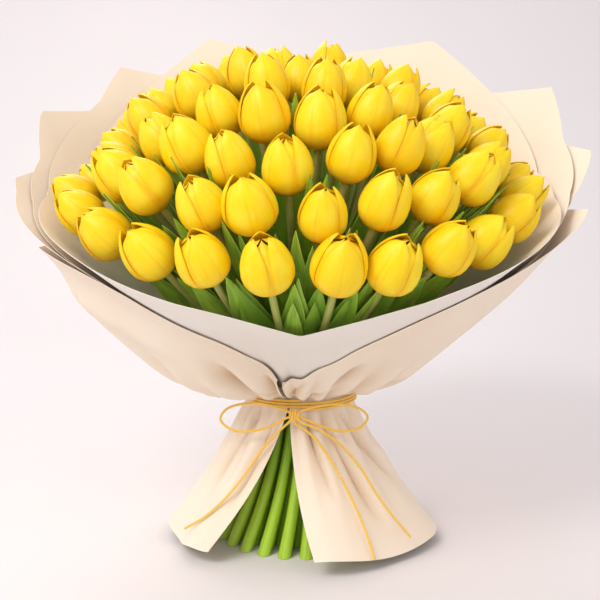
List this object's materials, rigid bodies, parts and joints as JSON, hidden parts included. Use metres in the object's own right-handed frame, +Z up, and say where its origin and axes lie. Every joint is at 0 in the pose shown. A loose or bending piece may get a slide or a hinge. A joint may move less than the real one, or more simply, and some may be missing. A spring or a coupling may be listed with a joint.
{
  "type": "bunch of tulips wrapped in paper",
  "caption": "Hand-tied bouquet of closed yellow tulips with green stems and leaves, wrapped in layered cream paper and tied with a golden twine bow; stands on its cut stem ends",
  "frame": {"origin": "on the floor, in the middle of the flat cut stem ends, below the tie", "axes": "+Z up, -Y to the viewer's side where the wrap opens and the bow sits, +X to the viewer's right"},
  "size_m": [0.5735, 0.5186, 0.5307],
  "materials": {
    "tulip": "matte living petals, lemon yellow with gold creases; green stems and leaves",
    "liner_paper": "matte pale grey-white tissue",
    "wrapping_paper": "matte cream kraft wrapping paper",
    "twine": "twisted golden-yellow twine"
  },
  "bodies": {
    "root": {"back_sheet": "wrapping_paper", "binding_turns": "twine", "bow_loop_left": "twine", "bow_loop_right": "twine", "knot": "twine", "left_lower_sheet": "wrapping_paper", "left_middle_sheet": "wrapping_paper", "left_upper_sheet": "wrapping_paper", "left_wing_sheet": "wrapping_paper", "liner_sheet": "liner_paper", "right_middle_sheet": "wrapping_paper", "right_upper_sheet": "wrapping_paper", "right_wing_sheet": "wrapping_paper", "tail_left": "twine", "tail_right_long": "twine", "tail_right_short": "twine", "tulip_crown": "tulip", "tulip_rim_01": "tulip", "tulip_rim_02": "tulip", "tulip_rim_03": "tulip", "tulip_rim_04": "tulip", "tulip_rim_05": "tulip", "tulip_rim_06": "tulip", "tulip_rim_07": "tulip", "tulip_rim_08": "tulip", "tulip_rim_09": "tulip", "tulip_rim_10": "tulip", "tulip_rim_11": "tulip", "tulip_rim_12": "tulip", "tulip_rim_13": "tulip", "tulip_rim_14": "tulip", "tulip_rim_15": "tulip", "tulip_rim_16": "tulip", "tulip_rim_17": "tulip", "tulip_rim_18": "tulip", "tulip_rim_19": "tulip", "tulip_rim_20": "tulip", "tulip_rim_21": "tulip", "tulip_rim_22": "tulip", "tulip_rim_23": "tulip", "tulip_rim_24": "tulip", "tulips_first_ring_01": "tulip", "tulips_first_ring_02": "tulip", "tulips_fourth_ring_01": "tulip", "tulips_fourth_ring_02": "tulip", "tulips_fourth_ring_03": "tulip", "tulips_fourth_ring_04": "tulip", "tulips_fourth_ring_05": "tulip", "tulips_fourth_ring_06": "tulip", "tulips_fourth_ring_07": "tulip", "tulips_second_ring_01": "tulip", "tulips_second_ring_02": "tulip", "tulips_second_ring_03": "tulip", "tulips_second_ring_04": "tulip", "tulips_third_ring_01": "tulip", "tulips_third_ring_02": "tulip", "tulips_third_ring_03": "tulip", "tulips_third_ring_04": "tulip", "tulips_third_ring_05": "tulip", "tulips_third_ring_06": "tulip"}
  },
  "joints": []
}
